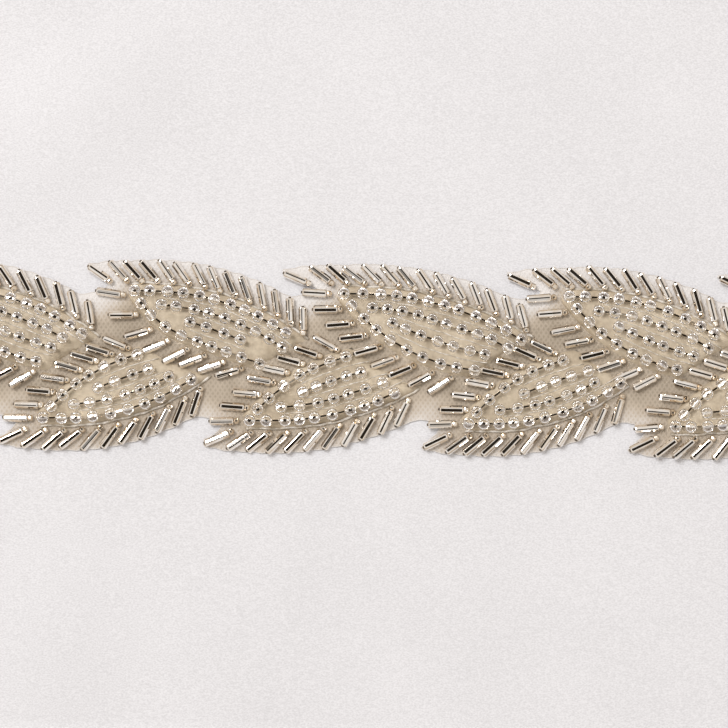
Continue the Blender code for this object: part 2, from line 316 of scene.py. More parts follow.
def satin_material():
    material, shader = new_material("white_satin", (0.86, 0.82, 0.80), 0.52)
    shader.inputs["Specular IOR Level"].default_value = 0.35
    shader.inputs["Sheen Weight"].default_value = 0.15
    shader.inputs["Sheen Roughness"].default_value = 0.4
    weave = noise_of(material, 3300, (0.6, 1.0, 1.0), 1.0)
    cloud = noise_of(material, 24, (1, 1, 1), 3.0)
    tone = math_of(
        material, "ADD", math_of(material, "MULTIPLY", weave, 0.78), math_of(material, "MULTIPLY", cloud, 0.22)
    )
    colour = ramp_of(material, tone, [(0.32, (0.72, 0.728, 0.762)), (0.68, (0.885, 0.895, 0.937))])
    material.node_tree.links.new(colour, shader.inputs["Base Color"])
    bump_of(material, shader, weave, 0.35, 0.12 * MM)
    return material


def net_material():
    """Fine net over satin: slanting threads half a millimetre apart, patches where it lies closer, and painted
    shade: darker among the beads in place of their shadows, lighter towards the rim where the sheer net takes the
    satin's colour.
    """
    material, shader = new_material("ivory_net", (0.74, 0.70, 0.65), 0.6)
    shader.inputs["Sheen Weight"].default_value = 0.2
    threads = None
    for turn in (35, -35):
        place = add_node(material, "ShaderNodeTexCoord")
        mapping = add_node(material, "ShaderNodeMapping")
        mapping.inputs["Rotation"].default_value = (0, 0, math.radians(turn))
        wave = add_node(material, "ShaderNodeTexWave", wave_type="BANDS", bands_direction="X")
        wave.inputs["Scale"].default_value = NET_THREADS
        wave.inputs["Distortion"].default_value = 1.5
        wave.inputs["Detail"].default_value = 1.0
        material.node_tree.links.new(place.outputs["Object"], mapping.inputs["Vector"])
        material.node_tree.links.new(mapping.outputs["Vector"], wave.inputs["Vector"])
        band = wave.outputs["Fac"]
        threads = band if threads is None else math_of(material, "MAXIMUM", threads, band)
    patches = noise_of(material, 160, (1, 1, 1), 2.0)
    # Painted light and shade: this attribute lightens the net near its rim and leaves painted shade among the beads
    # and on the lower side.
    edge = add_node(material, "ShaderNodeAttribute", attribute_name="sheer_rim_and_painted_light").outputs["Fac"]
    tone = math_of(
        material, "ADD", math_of(material, "MULTIPLY", threads, 0.16), math_of(material, "MULTIPLY", patches, 0.42)
    )
    tone = math_of(material, "ADD", tone, math_of(material, "MULTIPLY", edge, 0.8))
    # Low tones inside the net are painted shade among the beads; high tones near the rim are its light colour.
    stops = [(0.18, (0.36, 0.30, 0.225)), (0.46, (0.57, 0.49, 0.395)), (0.92, (0.86, 0.84, 0.83))]
    colour = ramp_of(material, tone, stops)
    material.node_tree.links.new(colour, shader.inputs["Base Color"])
    bump_of(material, shader, threads, 0.5, 0.12 * MM)
    return material


def pad_material():
    material, shader = new_material("cream_padding", (0.66, 0.59, 0.46), 0.55)
    grain = noise_of(material, 900, (1, 1, 1), 2.0)
    patches = noise_of(material, 140, (1, 1, 1), 2.0)
    tone = math_of(
        material, "ADD", math_of(material, "MULTIPLY", grain, 0.4), math_of(material, "MULTIPLY", patches, 0.6)
    )
    colour = ramp_of(material, tone, [(0.36, (0.45, 0.37, 0.265)), (0.64, (0.69, 0.595, 0.455))])
    material.node_tree.links.new(colour, shader.inputs["Base Color"])
    bump_of(material, shader, grain, 0.4, 0.12 * MM)
    return material


def outline_material():
    material, shader = new_material("pale_outline", (0.76, 0.73, 0.66), 0.3)
    ripples = noise_of(material, 700, (1, 1, 1), 2.0)
    colour = ramp_of(material, ripples, [(0.38, (0.50, 0.44, 0.35)), (0.62, (0.86, 0.82, 0.76))])
    material.node_tree.links.new(colour, shader.inputs["Base Color"])
    bump_of(material, shader, ripples, 0.3, 0.1 * MM)
    return material


def glass_material():
    """Clear glass, greyer on the side of each bead that the mesh's painted shade marks: a grey tint painted on as
    shade, standing in for the dark reflection that the glass shows on that side.
    """
    material, shader = new_material("clear_glass", (1.0, 0.99, 0.97), 0.0)
    shader.inputs["Transmission Weight"].default_value = 1.0
    shader.inputs["IOR"].default_value = 1.5
    painted_shade = add_node(material, "ShaderNodeAttribute", attribute_name="painted_shade").outputs["Fac"]
    cloud = math_of(material, "MULTIPLY", noise_of(material, 300, (1, 1, 1), 1.0), 0.1)
    tone = math_of(material, "ADD", painted_shade, cloud)
    # The grey end of the ramp is the painted shade.
    colour = ramp_of(material, tone, [(0.05, (1.0, 0.99, 0.97)), (0.95, (0.42, 0.43, 0.50))])
    material.node_tree.links.new(colour, shader.inputs["Base Color"])
    return material


def mirror_material(name, dark, light, roughness):
    """Silver behind glass: a tarnished mirror under a clear coat."""
    material, shader = new_material(name, light, roughness, 1.0)
    shader.inputs["Coat Weight"].default_value = 1.0
    shader.inputs["Coat Roughness"].default_value = 0.02
    tarnish = noise_of(material, 420, (1, 1, 1), 2.0)
    colour = ramp_of(material, tarnish, [(0.35, dark), (0.62, light)])
    material.node_tree.links.new(colour, shader.inputs["Base Color"])
    return material


def hole_material():
    # A dark plug at each bugle's tip: the thread in the hole, and painted shade for the hole's dark inside.
    material, shader = new_material("thread_and_shade_in_hole", (0.10, 0.075, 0.05), 0.6)
    twist = noise_of(material, 900, (1, 1, 1), 1.0)
    colour = ramp_of(material, twist, [(0.35, (0.06, 0.045, 0.03)), (0.65, (0.16, 0.12, 0.08))])
    material.node_tree.links.new(colour, shader.inputs["Base Color"])
    return material


def thread_material():
    material, shader = new_material("white_thread", (0.80, 0.77, 0.74), 0.5)
    twist = noise_of(material, 3000, (1, 1, 1), 1.0)
    bump_of(material, shader, twist, 0.4, 0.05 * MM)
    return material


# One leaf's lines, in its own frame


def turned(angle):
    return Vector((math.cos(angle), math.sin(angle)))


def arc(radius, start, turn, distance):
    """The point and heading at a distance along an arc from the apex that turns left (1) or right (-1)."""
    heading = start + turn * distance / radius
    x = radius * turn * (math.sin(heading) - math.sin(start))
    y = -radius * turn * (math.cos(heading) - math.cos(start))
    return Vector((x, y)), heading


def outer_row(shape, distance):
    """The outer row runs level past the apex, and then bends down to the tip."""
    point, heading = arc(shape.outer_radius, 0.0, -1, max(0.0, distance - OUTER_LEVEL))
    return point + Vector((min(distance, OUTER_LEVEL), 0)), heading


def inner_row(shape, distance):
    """The inner row bends until it is nearly level, and then runs straight to the tip."""
    start = math.radians(shape.inner_start)
    bent = (math.radians(shape.inner_end) - start) * shape.inner_radius
    point, heading = arc(shape.inner_radius, start, 1, min(distance, bent))
    return point + turned(heading) * max(0.0, distance - bent), heading


def beside(shape, row, side, distance, offset):
    """A point beside a row, on its left (1) or its right (-1)."""
    point, heading = row(shape, distance)
    return point + turned(heading + side * math.pi / 2) * offset, heading


def across(shape, share, fraction):
    """A point a share of the way along the leaf and a fraction of the way from its outer to its inner row."""
    outer = outer_row(shape, share * OUTER_LENGTH)[0]
    inner = inner_row(shape, share * INNER_LENGTH)[0]
    return outer.lerp(inner, fraction)


def row_fractions(shape, share):
    """Where the rows of beads lie between the outer and the inner row, and how many fit side by side there."""
    width = (across(shape, share, 0) - across(shape, share, 1)).length
    second = min(0.5, max(SECOND_ROW, ROW_GAP / max(width, MM)))
    third = max(THIRD_ROW, (second + 1) / 2) if width < 2 * ROW_GAP else THIRD_ROW
    return [0.0, second, third, 1.0], int(width / ROW_GAP) + 1


def fringe_unit(shape, fringe, row, side, distance):
    """Where a seed bead and its bugle start at the leaf's edge, and the direction that they point in."""
    base, heading = beside(shape, row, side, distance, fringe.offset)
    lean = fringe.lean + fringe.lean_rate * distance
    if side > 0:
        lean += FIRST_LEAN * math.exp((fringe.start - distance) / FIRST_LEAN_FADE)
    return base, turned(heading + math.radians(lean))


# The braid, from the frame's own leaves


class Leaf:
    """A leaf of the braid, placed by the box of its node in the frame."""

    def __init__(self, node):
        self.node = node
        self.side = 1 if "upper" in node else -1
        self.shape = ODD_SHAPES.get(node, UPPER_SHAPE if self.side > 0 else LOWER_SHAPE)
        low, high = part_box(node)
        base = beside(self.shape, outer_row, 1, FIRST_TIP_AT, CAD_FRINGE_OFFSET)[0]
        first_tip = base + turned(CAD_LEAN) * CAD_BUGLE_LENGTH
        self.apex = Vector((low.x - first_tip.x, self.side * APEX_HEIGHT))
        fringes = (UPPER_OUTER, UPPER_INNER) if self.side > 0 else (LOWER_OUTER, LOWER_INNER)
        self.outer_fringe, self.inner_fringe = ODD_FRINGES.get(node, fringes)
        edge = [inner_row(self.shape, EDGE_STEP * i) for i in range(int(INNER_LENGTH / EDGE_STEP) + 1)]
        self.edge_points = np.array([point for point, heading in edge])
        self.edge_sides = np.array([turned(heading - math.pi / 2) for point, heading in edge])
        self.followers = []

    def placed(self, point, height=0.0):
        return Vector((self.apex.x + point.x, self.apex.y + self.side * point.y, height))

    def heading(self, direction):
        return Vector((direction.x, self.side * direction.y, 0.0))

    def depth(self, spot):
        """How far a spot of the sash lies outside this leaf's inner row."""
        away = np.array((spot.x - self.apex.x, (spot.y - self.apex.y) * self.side)) - self.edge_points
        lengths = np.hypot(away[:, 0], away[:, 1])
        near = lengths.argmin()
        return math.copysign(lengths[near], away[near] @ self.edge_sides[near])

    def is_free(self, point, least):
        spot = self.placed(point)
        return all(follower.depth(spot) > least for follower in self.followers)


def find_braid(nodes):
    names = [name for name in nodes if name.startswith("leaf_")]
    leaves = sorted((Leaf(name) for name in names), key=lambda leaf: leaf.apex.x)
    for i, leaf in enumerate(leaves):
        leaf.followers = leaves[i + 1 : i + 3]
    return leaves


# Small shapes, made along X, and many copies of one joined into a mesh


def turned_shape(profile, sides, start=0.0):
    """A profile of (along, radius) pairs turned about X and closed at both ends."""
    points, faces = [], []
    for along, radius in profile:
        for k in range(sides):
            angle = start + 2 * math.pi * k / sides
            points.append((along, radius * math.cos(angle), radius * math.sin(angle)))
    for ring in range(len(profile) - 1):
        for k in range(sides):
            a = ring * sides + k
            b = ring * sides + (k + 1) % sides
            faces.append((a, a + sides, b + sides, b))
    last = (len(profile) - 1) * sides
    faces.append(tuple(range(sides)))
    faces.append(tuple(last + k for k in reversed(range(sides))))
    return np.array(points), faces


def bead_shape():
    """A round bead, a little shorter than it is wide, flat round the hole at each end."""
    rings = 9
    profile = []
    for i in range(rings):
        angle = math.pi * (0.11 + 0.78 * i / (rings - 1))
        profile.append((-math.cos(angle) * BEAD_LENGTH / 2 * 1.06, math.sin(angle) ** 0.8 * BEAD_RADIUS))
    return turned_shape(profile, 16)


def seed_shape():
    half = SEED_LENGTH / 2
    profile = [(-half, 0.42), (-half * 0.66, 0.9), (-half * 0.25, 1.0), (half * 0.25, 1.0), (half * 0.66, 0.9), (half, 0.42)]
    return turned_shape([(along, share * SEED_RADIUS) for along, share in profile], 10)


def prism(outline, profile):
    """A closed bar along X: its outline of (y, z) points, scaled by the share at each (along, share) pair."""
    points = [(along, y * share, z * share) for along, share in profile for y, z in outline]
    sides = len(outline)
    faces = []
    for ring in range(len(profile) - 1):
        for k in range(sides):
            a, b = ring * sides + k, ring * sides + (k + 1) % sides
            faces.append((a, a + sides, b + sides, b))
    last = (len(profile) - 1) * sides
    faces.append(tuple(range(sides)))
    faces.append(tuple(last + k for k in reversed(range(sides))))
    return np.array(points), faces


def eight_sided(width, flat):
    """A square with its corners cut off, so that the given share of each side is left."""
    half, edge = width / 2, width / 2 * flat
    outline = [(half, -edge), (half, edge), (edge, half), (-edge, half)]
    return outline + [(-y, -z) for y, z in outline]


def striped_outline():
    """A bugle's section: flat facets over the top that each mirror another part of the room."""
    y, z = 0.0, BUGLE_HEIGHT / 2
    half = []
    for facet in BUGLE_FACETS:
        y += facet.width * math.cos(math.radians(facet.tilt))
        z -= facet.width * math.sin(math.radians(facet.tilt))
        half.append((y, z))
    half.append((y, -BUGLE_HEIGHT / 4))
    half.append((y * 0.6, -BUGLE_HEIGHT / 2))
    return half[::-1] + [(-y, z) for y, z in half]


def bugle_shape():
    half = BUGLE_LENGTH / 2
    return prism(striped_outline(), [(-half, 0.87), (-half + BUGLE_END, 1.0), (half - BUGLE_END, 1.0), (half, 0.87)])


def sleeve_shape():
    """The bright ends of a bead's lining, which widen towards the holes."""
    start, end = CORE_LENGTH / 2, BEAD_LENGTH / 2 - 0.06 * MM
    outline = eight_sided(SLEEVE_WIDTH, CORE_FLAT)
    points, faces = prism(outline, [(start, 1.0), (end, SLEEVE_FLARE)])
    other, _ = prism(outline, [(-end, SLEEVE_FLARE), (-start, 1.0)])
    return np.vstack((points, other)), faces + [tuple(len(points) + i for i in face) for face in faces]


def bar(length):
    return [(-length / 2, 1.0), (length / 2, 1.0)]


def hole_shape():
    half = HOLE_LENGTH / 2
    return turned_shape([(-half, HOLE_RADIUS), (half, HOLE_RADIUS * 0.8)], 8)


def link_shape():
    """A link one unit long, whose ends narrow so that they catch the light."""
    return prism(eight_sided(LINK_WIDTH, LINK_FLAT), [(-0.5, 0.6), (-0.36, 1.0), (0.36, 1.0), (0.5, 0.6)])


def placing(centre, axis, roll=0.0, stretch=1.0):
    """The matrix that sets a shape made along X at a place, along an axis and rolled about it."""
    along = axis.normalized()
    side = Vector((0, 0, 1)).cross(along).normalized()
    frame = Matrix((along, side, along.cross(side))).transposed()
    frame = frame @ Matrix.Rotation(roll, 3, "X") @ Matrix.Diagonal((stretch, 1, 1))
    return Matrix.Translation(centre) @ frame.to_4x4()


def joined(name, shape, matrices, smooth_angle):
    """One mesh with a copy of a shape at each matrix."""
    points, faces = shape
    places = np.array([[list(row) for row in matrix] for matrix in matrices])
    spots = np.einsum("kij,nj->kni", places[:, :3, :3], points) + places[:, None, :3, 3]
    loops = np.concatenate([np.array(face) for face in faces])
    sizes = np.array([len(face) for face in faces])
    count = len(matrices)
    all_loops = (loops[None, :] + len(points) * np.arange(count)[:, None]).ravel()
    starts = np.concatenate([[0], np.cumsum(np.tile(sizes, count))[:-1]])
    mesh = bpy.data.meshes.new(name)
    mesh.vertices.add(count * len(points))
    mesh.vertices.foreach_set("co", spots.ravel())
    mesh.loops.add(len(all_loops))
    mesh.loops.foreach_set("vertex_index", all_loops.astype(np.int32))
    mesh.polygons.add(count * len(faces))
    mesh.polygons.foreach_set("loop_start", starts.astype(np.int32))
    mesh.update(calc_edges=True)
    if smooth_angle:
        mesh.shade_smooth()
        mesh.set_sharp_from_angle(angle=math.radians(smooth_angle))
    else:
        mesh.shade_flat()
    return mesh


def add_piece(name, mesh, material):
    mesh.materials.append(material)
    piece = bpy.data.objects.new(name, mesh)
    bpy.context.scene.collection.objects.link(piece)
    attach(piece, "root")
    return piece


# Satin


def fold_rise(x, y):
    """How far the cloth lifts off the table at a point."""
    rise = 0.0
    for fold in FOLDS:
        dx, dy = x - fold.x * MM, y - fold.y * MM
        reach_most = max(fold.length, fold.width) * MM
        if abs(dx) > reach_most or abs(dy) > reach_most:
            continue
        angle = math.radians(fold.angle)
        along = (dx * math.cos(angle) + dy * math.sin(angle)) / (fold.length * MM)
        side = (dy * math.cos(angle) - dx * math.sin(angle)) / (fold.width * MM)
        reach = 1 - along * along - side * side
        if reach > 0:
            rise += fold.height * MM * reach * reach
    return rise


def ripple(x, y, half_length, half_width):
    """Small unevenness: faint waves in the open cloth, and puckers along the hem."""
    from_beads = min(1.0, max(0.0, (abs(y) - 28 * MM) / (14 * MM)))
    wave = noise.noise(Vector((x * 14, y * 26, 0.3))) * 0.22 * MM * from_beads
    edge = min(half_width - abs(y), half_length - abs(x))
    near_hem = math.exp(-(((edge - HEM_WIDTH) / (5 * MM)) ** 2))
    pucker = noise.noise(Vector((x * 95, y * 95, 4.1))) * 0.28 * MM * near_hem
    return wave + pucker


def spaced(start, end, step):
    count = max(1, round((end - start) / step))
    return [start + (end - start) * i / count for i in range(count)]


def satin_cloth(material):
    low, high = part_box("satin_band")
    half_length, half_width = high.x, high.y
    hem_marks = [HEM_WIDTH + HEM_STEP, HEM_WIDTH, 0.0]
    xs = spaced(0.0, FINE_HALF, FINE_STEP)
    xs += spaced(FINE_HALF, half_length - hem_marks[0], COARSE_STEP)
    xs += [half_length - mark for mark in hem_marks]
    ys = spaced(0.0, half_width - hem_marks[0], STEP_ACROSS) + [half_width - mark for mark in hem_marks]
    xs = [-x for x in reversed(xs[1:])] + xs
    ys = [-y for y in reversed(ys[1:])] + ys
    points, weights = [], []
    for x in xs:
        for y in ys:
            rise = fold_rise(x, y) + max(0.0, ripple(x, y, half_length, half_width))
            points.append((x, y, low.z + rise))
            edge = min(half_width - abs(y), half_length - abs(x))
            weights.append(1.0 if edge < HEM_WIDTH + HEM_STEP / 2 else CLOTH / HEM_CLOTH)
    wide = len(ys)
    faces = []
    for i in range(len(xs) - 1):
        for j in range(wide - 1):
            a = i * wide + j
            faces.append((a, a + wide, a + wide + 1, a + 1))
    mesh = bpy.data.meshes.new("satin_cloth")
    mesh.from_pydata(points, [], faces)
    mesh.shade_smooth()
    cloth = add_piece("satin_cloth", mesh, material)
    wall = cloth.vertex_groups.new(name="wall")
    for weight in set(weights):
        wall.add([i for i, w in enumerate(weights) if w == weight], weight, "REPLACE")
    solidify = cloth.modifiers.new("cloth_wall", "SOLIDIFY")
    solidify.thickness = HEM_CLOTH
    solidify.offset = 1.0
    solidify.vertex_group = "wall"
    bevel = cloth.modifiers.new("rounded_edge", "BEVEL")
    bevel.width = 0.45 * MM
    bevel.segments = 2
    bevel.limit_method = "ANGLE"
    bevel.angle_limit = math.radians(50)
    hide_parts("satin_band")
    return cloth


def hem_stitches(material):
    low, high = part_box("satin_band")
    shape = turned_shape([(-0.5, 0.4), (-0.42, 0.8), (0.42, 0.8), (0.5, 0.4)], 6)
    matrices = []
    size = Matrix.Diagonal((STITCH_LENGTH, 0.17 * MM, 0.11 * MM)).to_4x4()
    x_line, y_line = high.x - STITCH_INSET, high.y - STITCH_INSET
    top = HEM_CLOTH + 0.02 * MM
    runs = []
    for side in (-1, 1):
        runs += [(Vector((x, side * y_line)), Vector((1, 0))) for x in spaced(-x_line, x_line, STITCH_PITCH)]
        runs += [(Vector((side * x_line, y)), Vector((0, 1))) for y in spaced(-y_line, y_line, STITCH_PITCH)]
    for spot, way in runs:
        rise = fold_rise(spot.x, spot.y) + max(0.0, ripple(spot.x, spot.y, high.x, high.y))
        place = Vector((spot.x, spot.y, top + rise))
        matrices.append(placing(place, Vector((way.x, way.y, 0))) @ size)
    return add_piece("hem_stitches", joined("hem_stitches", shape, matrices, 60), material)


# Beads


def roll_of(leaf, edge, distance, drift):
    """A bugle's roll in degrees: from the table where its stretch is named, and a slow drift elsewhere."""
    for stretch in STRETCHES:
        if stretch.leaf == leaf.node and stretch.edge == edge and distance < stretch.until * MM:
            return stretch.roll
    return drift


def fringe_units(leaf, draws):
    """Every seed bead and bugle of a leaf's two fringes: its base, direction, roll and the bugle's length."""
    units = []
    edges = (("outer", leaf.outer_fringe, outer_row, 1), ("inner", leaf.inner_fringe, inner_row, -1))
    for edge, fringe, row, side in edges:
        distance = fringe.start
        drift = draws.uniform(-36, 36)
        while distance < fringe.end:
            base, way = fringe_unit(leaf.shape, fringe, row, side, distance)
            tip = base + way * (SEED_LENGTH + fringe.length)
            if not (leaf.is_free(base, FRINGE_CLEAR) and leaf.is_free(tip, FRINGE_CLEAR)):
                break
            way = turned(math.atan2(way.y, way.x) + draws.gauss(0, math.radians(2)))
            roll = roll_of(leaf, edge, distance, drift) + draws.gauss(0, 3.5)
            units.append((base, way, math.radians(roll), fringe.length))
            drift = max(-38, min(38, drift + draws.gauss(0, 9)))
            gap = fringe.second - fringe.start if distance == fringe.start else fringe.pitch
            distance += gap * draws.uniform(0.94, 1.06)
    return units


def row_beads(leaf, row, draws):
    """The beads of one row of a leaf, as points along it; the two middle rows start where there is room."""
    room = (0, 3, 4, 0)[row]
    distance = ROW_STARTS[row]
    points = []
    while distance < OUTER_LENGTH - 1.2 * MM:
        fractions, fitting = row_fractions(leaf.shape, distance / OUTER_LENGTH)
        point = across(leaf.shape, distance / OUTER_LENGTH, fractions[row])
        if fitting < room:
            distance += 0.3 * MM
            continue
        if not leaf.is_free(point, BEADS_END):
            break
        points.append(point)
        distance += BEAD_STEP * draws.uniform(0.88, 1.15)
    return points


def leaf_pad(leaf, material):
    """The low cream dome under a leaf's beads, cut off where the next leaf covers it."""
    lines, steps = 17, 40
    margin = 1.9 * MM
    points, faces = [], []
    for j in range(lines):
        fraction = j / (lines - 1)
        line = []
        for i in range(steps * 2 + 1):
            share = i / (steps * 2)
            outer = beside(leaf.shape, outer_row, 1, share * OUTER_LENGTH, margin)[0]
            inner = beside(leaf.shape, inner_row, -1, share * INNER_LENGTH, margin)[0]
            point = outer.lerp(inner, fraction)
            if not leaf.is_free(point, PAD_END):
                break
            line.append(point)
        length = len(line) - 1
        for i in range(steps + 1):
            at = length * i / steps
            k = min(int(at), length - 1)
            point = line[k].lerp(line[k + 1], at - k)
            rim = math.sqrt(max(0.0, 1 - (2 * fraction - 1) ** 6))
            end = math.sqrt(min(1.0, (steps - i) / 3.0)) * math.sqrt(min(1.0, i / 2.0))
            points.append(leaf.placed(point, NET_Z + NET_THICK + PAD_HEIGHT * rim * end))
    for j in range(lines - 1):
        for i in range(steps):
            a = j * (steps + 1) + i
            face = (a, a + steps + 1, a + steps + 2, a + 1)
            faces.append(face if leaf.side > 0 else face[::-1])
    wide = steps + 1
    rim = [i for i in range(steps)] + [j * wide + steps for j in range(lines - 1)]
    rim += [(lines - 1) * wide + i for i in range(steps, 0, -1)] + [j * wide for j in range(lines - 1, 0, -1)]
    faces.append(tuple(rim if leaf.side > 0 else rim[::-1]))
    mesh = bpy.data.meshes.new("pad_" + leaf.node)
    mesh.from_pydata([tuple(point) for point in points], [], faces)
    mesh.shade_smooth()
    mesh.set_sharp_from_angle(angle=math.radians(60))
    pad = add_piece(leaf.node.replace("leaf", "pad"), mesh, material)
    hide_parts(leaf.node)
    return pad


def tube_along(points, radius, sides=6):
    """A closed tube through a list of places."""
    spots, faces = [], []
    for i, point in enumerate(points):
        along = points[min(i + 1, len(points) - 1)] - points[max(i - 1, 0)]
        frame = placing(point, along)
        for k in range(sides):
            angle = 2 * math.pi * k / sides
            spots.append(frame @ Vector((0, radius * math.cos(angle) * 1.25, radius * math.sin(angle))))
    for i in range(len(points) - 1):
        for k in range(sides):
            a, b = i * sides + k, i * sides + (k + 1) % sides
            faces.append((a, a + sides, b + sides, b))
    last = (len(points) - 1) * sides
    faces.append(tuple(range(sides)))
    faces.append(tuple(last + k for k in reversed(range(sides))))
    return spots, faces


def add_tubes(name, routes, radius, material):
    spots, faces = [], []
    for route in routes:
        tube_spots, tube_faces = tube_along(route, radius)
        faces += [tuple(len(spots) + i for i in face) for face in tube_faces]
        spots += tube_spots
    mesh = bpy.data.meshes.new(name)
    mesh.from_pydata([tuple(spot) for spot in spots], [], faces)
    mesh.shade_smooth()
    return add_piece(name, mesh, material)


def outline_route(leaf):
    """The clear outline of a leaf's pad, between its outer row of beads and its fringe."""
    height = NET_Z + NET_THICK + OUTLINE_RADIUS
    route = []
    distance = -0.5 * MM
    while distance < OUTER_LENGTH:
        sway = noise.noise(Vector((leaf.apex.x * 40 + distance * 260, 3.0, 0.0))) * 0.5 * MM
        point = beside(leaf.shape, outer_row, 1, distance, 2.0 * MM + sway)[0]
        if not leaf.is_free(point, PAD_END):
            break
        route.append(leaf.placed(point, height))
        distance += 0.9 * MM
    return route


def tape_routes(leaf):
    """The clear edges of the tapes that the rows of beads are strung on, half way between the rows."""
    routes = []
    height = NET_Z + NET_THICK + PAD_HEIGHT
    for near, far, room in ((0, 1, 3), (1, 2, 4), (2, 3, 4)):
        route = []
        distance = 0.0
        while distance < OUTER_LENGTH:
            fractions, fitting = row_fractions(leaf.shape, distance / OUTER_LENGTH)
            point = across(leaf.shape, distance / OUTER_LENGTH, (fractions[near] + fractions[far]) / 2)
            distance += 1.1 * MM
            if fitting < room:
                continue
            if not leaf.is_free(point, PAD_END):
                break
            sway = noise.noise(Vector((leaf.apex.x * 40 + distance * 300, near * 5.0, 2.0))) * 0.25 * MM
            route.append(leaf.placed(point + Vector((0, sway)), height))
        routes.append(route)
    return routes


def beadwork(leaves, draws):
    """Where every bead, lining and link of the braid lies, and how much painted shade each bead's glass gets on its
    left.
    """
    places = {kind: [] for kind in ("bead", "core", "link", "bugle", "seed", "hole")}
    painted_shades = []
    bead_z = NET_Z + NET_THICK + PAD_HEIGHT + BEAD_RADIUS * 0.82
    fringe_z = NET_Z + NET_THICK + BUGLE_HEIGHT / 2
    for leaf in leaves:
        for row in range(ROWS):
            spots = [leaf.placed(point, bead_z) for point in row_beads(leaf, row, draws)]
            # Painted shade on the glass, on one side of each bead: fully on the upper leaves and on the lower
            # leaves' first row, a little on their other rows.
            painted_shade_side = 1.0 if leaf.side > 0 else (-1.0 if row == 0 else 0.35)
            for i, spot in enumerate(spots):
                before, after = spots[max(0, i - 1)], spots[min(len(spots) - 1, i + 1)]
                way = after - before if len(spots) > 1 else Vector((1, 0, 0))
                way = Matrix.Rotation(draws.gauss(0, math.radians(6)), 3, "Z") @ way
                way = way.normalized() + Vector((0, 0, draws.gauss(0, 0.05)))
                places["bead"].append(placing(spot, way))
                places["core"].append(placing(spot, way, math.radians(draws.gauss(0, 13))))
                painted_shades.append(painted_shade_side * draws.uniform(0.5, 1.0))
            for near, far in zip(spots, spots[1:]):
                gap = (far - near).length - BEAD_LENGTH + 0.5 * MM
                if gap > 0.7 * MM:
                    roll = math.radians(draws.gauss(0, 7))
                    places["link"].append(placing((near + far) / 2, far - near, roll, gap))
        for base, way, roll, length in fringe_units(leaf, draws):
            start = leaf.placed(base, fringe_z)
            axis = leaf.heading(way) + Vector((0, 0, draws.gauss(0.02, 0.03)))
            axis.normalize()
            places["seed"].append(placing(start + axis * SEED_LENGTH / 2, axis, draws.uniform(0, 1)))
            middle = start + axis * (SEED_LENGTH + length / 2)
            places["bugle"].append(placing(middle, axis, roll, length / BUGLE_LENGTH))
            places["hole"].append(placing(middle + axis * (length / 2 + HOLE_SHOWS - HOLE_LENGTH / 2), axis))
    return places, painted_shades


def paint_bead_shade(mesh, points, painted_shades):
    """Paints shade on one side of each round bead's glass: its left for a painted shade over 0, and its right under
    0.
    """
    across_bead = points[:, 1] / BEAD_RADIUS
    values = []
    for painted_shade in painted_shades:
        values.append(np.clip((across_bead * math.copysign(1, painted_shade) - 0.15) / 0.3, 0, 1) * abs(painted_shade))
    mesh.attributes.new("painted_shade", "FLOAT", "POINT").data.foreach_set("value", np.concatenate(values))


def add_beads(leaves, materials):
    places, painted_shades = beadwork(leaves, random.Random(11))
    silver = materials["silver"]
    round_beads = joined("round_beads", bead_shape(), places["bead"], 60)
    paint_bead_shade(round_beads, bead_shape()[0], painted_shades)
    glass = add_piece("round_beads", round_beads, materials["glass"])
    glass.visible_shadow = False
    core = prism(eight_sided(CORE_WIDTH, CORE_FLAT), bar(CORE_LENGTH))
    add_piece("bead_linings", joined("bead_linings", core, places["core"], 0), silver)
    sleeves = joined("bead_sleeves", sleeve_shape(), places["core"], 0)
    add_piece("bead_sleeves", sleeves, materials["sleeve"])
    add_piece("bead_links", joined("bead_links", link_shape(), places["link"], 0), materials["gilt"])
    add_piece("bugle_beads", joined("bugle_beads", bugle_shape(), places["bugle"], 0), silver)
    holes = joined("bugle_holes", hole_shape(), places["hole"], 40)
    add_piece("bugle_holes", holes, materials["hole"])
    seeds = joined("seed_beads", seed_shape(), places["seed"], 0)
    add_piece("seed_beads", seeds, materials["champagne"])


# Net backing


def scallops(leaf, fringe, row, side, start, end):
    """The cut edge of the net round the tips of a stretch of fringe."""
    points = []
    count = max(1, round(abs(end - start) / (fringe.pitch / 2)))
    for i in range(count + 1):
        distance = start + (end - start) * i / count
        base, way = fringe_unit(leaf.shape, fringe, row, side, distance)
        past = 0.6 * MM if i % 2 == 0 else 0.2 * MM
        points.append(leaf.placed(base + way * (SEED_LENGTH + fringe.length + past), NET_Z))
    return points


def net_side(leaves):
    edge = []
    for leaf, follower in zip(leaves, leaves[1:]):
        fringe = leaf.outer_fringe
        edge += scallops(leaf, fringe, outer_row, 1, fringe.start, LAST_SEEN_TIP)
        edge += [follower.placed(Vector(notch), NET_Z) for notch in NOTCHES]
    return edge


def smoothed(points, parts=3):
    """A closed smooth line through the points."""
    count = len(points)
    line = []
    for i in range(count):
        a, b, c, d = (points[(i + k) % count] for k in (-1, 0, 1, 2))
        for part in range(parts):
            t = part / parts
            line.append(
                0.5 * (2 * b + (c - a) * t + (2 * a - 5 * b + 4 * c - d) * t * t + (3 * b - a - 3 * c + d) * t ** 3)
            )
    return line


def net_rim(leaves):
    uppers = [leaf for leaf in leaves if leaf.side > 0]
    lowers = [leaf for leaf in leaves if leaf.side < 0]
    rim = net_side(uppers)
    rim += scallops(uppers[-1], UPPER_OUTER, outer_row, 1, UPPER_OUTER.start, 46 * MM)
    rim += scallops(lowers[-1], LOWER_INNER, inner_row, -1, 40 * MM, INNER_LENGTH)
    rim += scallops(lowers[-1], LOWER_OUTER, outer_row, 1, LOWER_OUTER.end, LOWER_OUTER.start)
    rim += reversed(net_side(lowers))
    rim += scallops(lowers[0], LOWER_INNER, inner_row, -1, LOWER_INNER.start, 6 * MM)
    rim += scallops(uppers[0], UPPER_INNER, inner_row, -1, 34 * MM, UPPER_INNER.start)
    return rim


